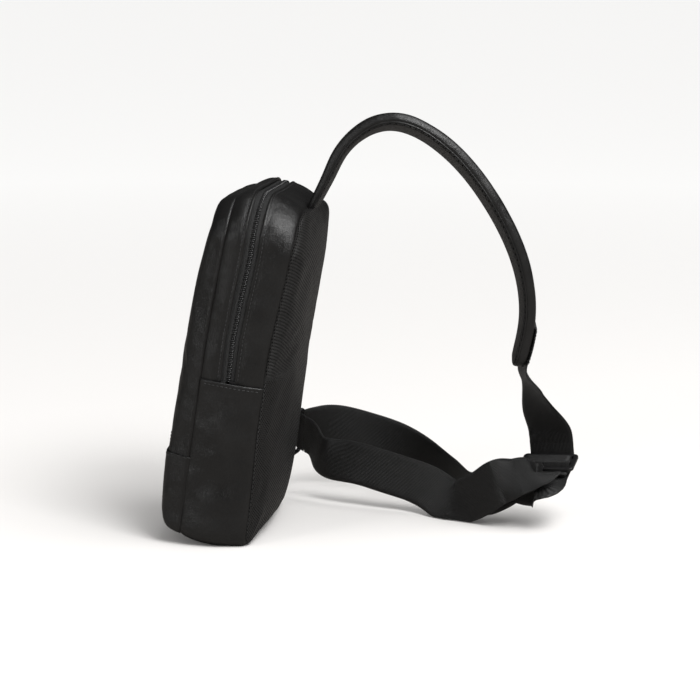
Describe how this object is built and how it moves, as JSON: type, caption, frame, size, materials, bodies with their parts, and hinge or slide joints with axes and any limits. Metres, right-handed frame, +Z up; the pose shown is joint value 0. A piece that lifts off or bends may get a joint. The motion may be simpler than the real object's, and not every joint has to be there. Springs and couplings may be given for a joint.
{
  "type": "sling bag",
  "caption": "Tall padded sling bag with a wrap-round zip, a mesh back and a single padded shoulder strap on adjustable webbing.",
  "frame": {"origin": "on the floor, at the middle of the flat patch the base stands on", "axes": "+Z up, +X across the bag to the wearer's side with the plain zip end, -Y towards the bag's front, +Y towards its padded back and strap"},
  "size_m": [0.2332, 0.357, 0.3703],
  "materials": {
    "leather": "soft pebbled sheen",
    "air_mesh": "ribbed mesh",
    "padding": "open foam",
    "lining": "plain weave",
    "binding": "ribbed tape",
    "zip_tape": "ribbed tape",
    "zip_coil": "satin",
    "zip_metal": "gunmetal",
    "webbing": "tight weave",
    "hardware": "fine matt",
    "board": "matt"
  },
  "bodies": {
    "bag": {"front_panel": "leather", "front_overlay": "leather", "gusset_front_strip": "leather", "gusset_rear_strip": "leather", "side_base_panel": "leather", "strap_root": "leather", "ring_tab": "webbing", "back_mesh": "air_mesh", "back_foam": "padding", "front_pocket_lining": "lining", "pocket_divider": "lining", "back_lining": "lining", "main_lining": "lining", "inner_pocket": "lining", "front_seam_binding": "binding", "back_seam_binding": "binding", "zip_tape_front": "zip_tape", "zip_tape_rear": "zip_tape", "front_tape_lower": "zip_tape", "front_tape_upper": "zip_tape", "zip_coil_front": "zip_coil", "zip_coil_rear": "zip_coil", "front_coil_lower": "zip_coil", "front_coil_upper": "zip_coil", "zip_stops": "zip_metal", "back_board": "board", "base_board": "board"},
    "strap": {"strap_cover": "leather", "strap_foam": "padding", "strap_underside": "air_mesh", "strap_binding": "binding", "strap_ring": "hardware", "webbing_upper": "webbing", "webbing_near_run": "webbing", "webbing_ring_turn": "webbing", "webbing_far_run": "webbing"},
    "adjuster": {"tri_glide": "hardware", "webbing_thread": "webbing", "webbing_fold": "webbing"},
    "main_slider": {"main_zip_slider": "zip_metal"},
    "main_pull": {"main_zip_pull": "zip_metal"},
    "front_slider": {"front_zip_slider": "zip_metal"},
    "front_pull": {"front_zip_pull": "zip_metal"}
  },
  "joints": [
    {"name": "strap_swing", "type": "hinge", "parent": "bag", "child": "strap", "pos_m": [0, 0.05398, 0.28605], "axis": [0.3832, 0.1445, 0.9123], "range_deg": [0, 60], "deforming": ["strap_root"]},
    {"name": "adjuster_slide", "type": "slide", "parent": "strap", "child": "adjuster", "axis": [0.3072, -0.2845, 0.9081], "range_m": [0, 0.045], "deforming": ["webbing_upper", "webbing_near_run", "webbing_far_run"]},
    {"name": "main_zip_travel", "type": "slide", "parent": "bag", "child": "main_slider", "axis": [0, 0.1478, 0.989], "range_m": [0, 0.1]},
    {"name": "main_pull_swing", "type": "hinge", "parent": "main_slider", "child": "main_pull", "pos_m": [-0.0876, -0.00098, 0.1517], "axis": [0, 0.989, -0.1478], "range_deg": [0, 150]},
    {"name": "front_zip_travel", "type": "slide", "parent": "bag", "child": "front_slider", "axis": [1, 0, 0], "range_m": [0, 0.08]},
    {"name": "front_pull_swing", "type": "hinge", "parent": "front_slider", "child": "front_pull", "pos_m": [-0.0415, -0.06434, 0.08938], "axis": [0, 0.1478, 0.989], "range_deg": [0, 150]}
  ]
}
